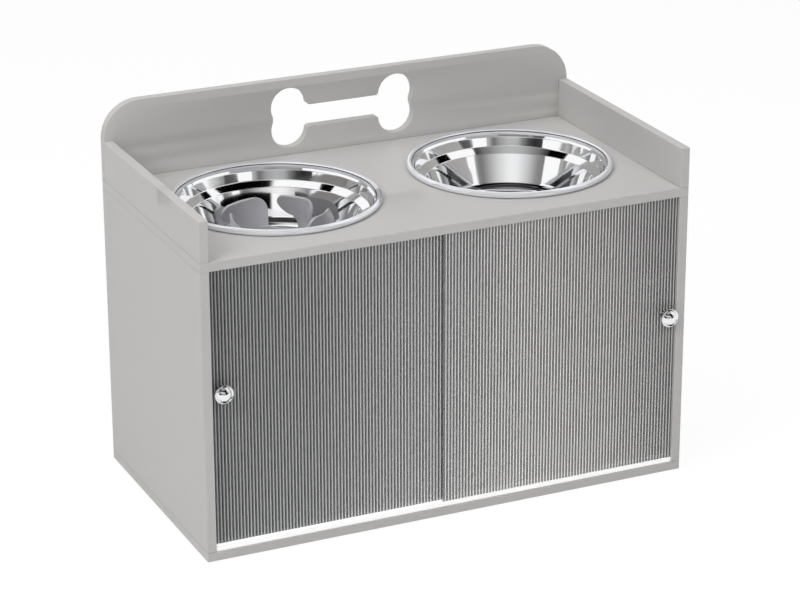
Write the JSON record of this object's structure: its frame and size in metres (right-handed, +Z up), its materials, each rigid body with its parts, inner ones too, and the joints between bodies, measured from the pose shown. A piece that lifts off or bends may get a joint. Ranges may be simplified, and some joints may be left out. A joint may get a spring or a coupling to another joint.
{
  "type": "elevated dog feeder with storage cabinet",
  "caption": "Raised feeding cabinet with drop-in steel bowls, a slow feeder insert, side guards, a splash panel with a bone cut-out and sliding reeded doors over a storage space.",
  "frame": {"origin": "centre of the cabinet's footprint on the surface that it stands on", "axes": "+X to the right as seen from the front, +Z up, the sliding doors face -Y and the splash panel is at +Y"},
  "size_m": [0.6, 0.3276, 0.447],
  "materials": {
    "painted_board": "light warm grey paint, satin, on board",
    "reeded_panel": "clear acrylic with upright flutes",
    "white_track": "smooth white extrusion",
    "chrome_knob": "polished chrome plate",
    "bowl_steel": "stainless steel polished like a mirror",
    "insert_plastic": "satin grey plastic",
    "zinc_fastener": "zinc plate",
    "birch": "bare birch"
  },
  "bodies": {
    "cabinet": {"bottom_panel": "painted_board", "left_side_panel": "painted_board", "right_side_panel": "painted_board", "back_panel": "painted_board", "top_panel": "painted_board", "splash_panel": "painted_board", "left_guard": "painted_board", "right_guard": "painted_board", "lower_track": "white_track", "upper_track": "white_track", "base_screws": "zinc_fastener", "top_screws": "zinc_fastener", "guard_screws": "zinc_fastener", "base_dowels": "birch", "top_dowels": "birch", "guard_dowels": "birch", "splash_dowels": "birch"},
    "left_door": {"left_door": "reeded_panel", "left_door_knob": "chrome_knob", "left_knob_screw": "zinc_fastener", "left_knob_washer": "zinc_fastener"},
    "right_door": {"right_door": "reeded_panel", "right_door_knob": "chrome_knob", "right_knob_screw": "zinc_fastener", "right_knob_washer": "zinc_fastener"},
    "left_bowl": {"left_bowl": "bowl_steel"},
    "right_bowl": {"right_bowl": "bowl_steel"},
    "slow_feeder_insert": {"slow_feeder_insert": "insert_plastic"}
  },
  "joints": [
    {"name": "left_door_slide", "type": "slide", "parent": "cabinet", "child": "left_door", "axis": [1, 0, 0], "range_m": [0, 0.255]},
    {"name": "right_door_slide", "type": "slide", "parent": "cabinet", "child": "right_door", "axis": [1, 0, 0], "range_m": [-0.255, 0]},
    {"name": "left_bowl_lift", "type": "slide", "parent": "cabinet", "child": "left_bowl", "axis": [0, 0, 1], "range_m": [0, 0.18]},
    {"name": "insert_lift", "type": "slide", "parent": "left_bowl", "child": "slow_feeder_insert", "axis": [0, 0, 1], "range_m": [0, 0.16]},
    {"name": "right_bowl_lift", "type": "slide", "parent": "cabinet", "child": "right_bowl", "axis": [0, 0, 1], "range_m": [0, 0.18]}
  ]
}
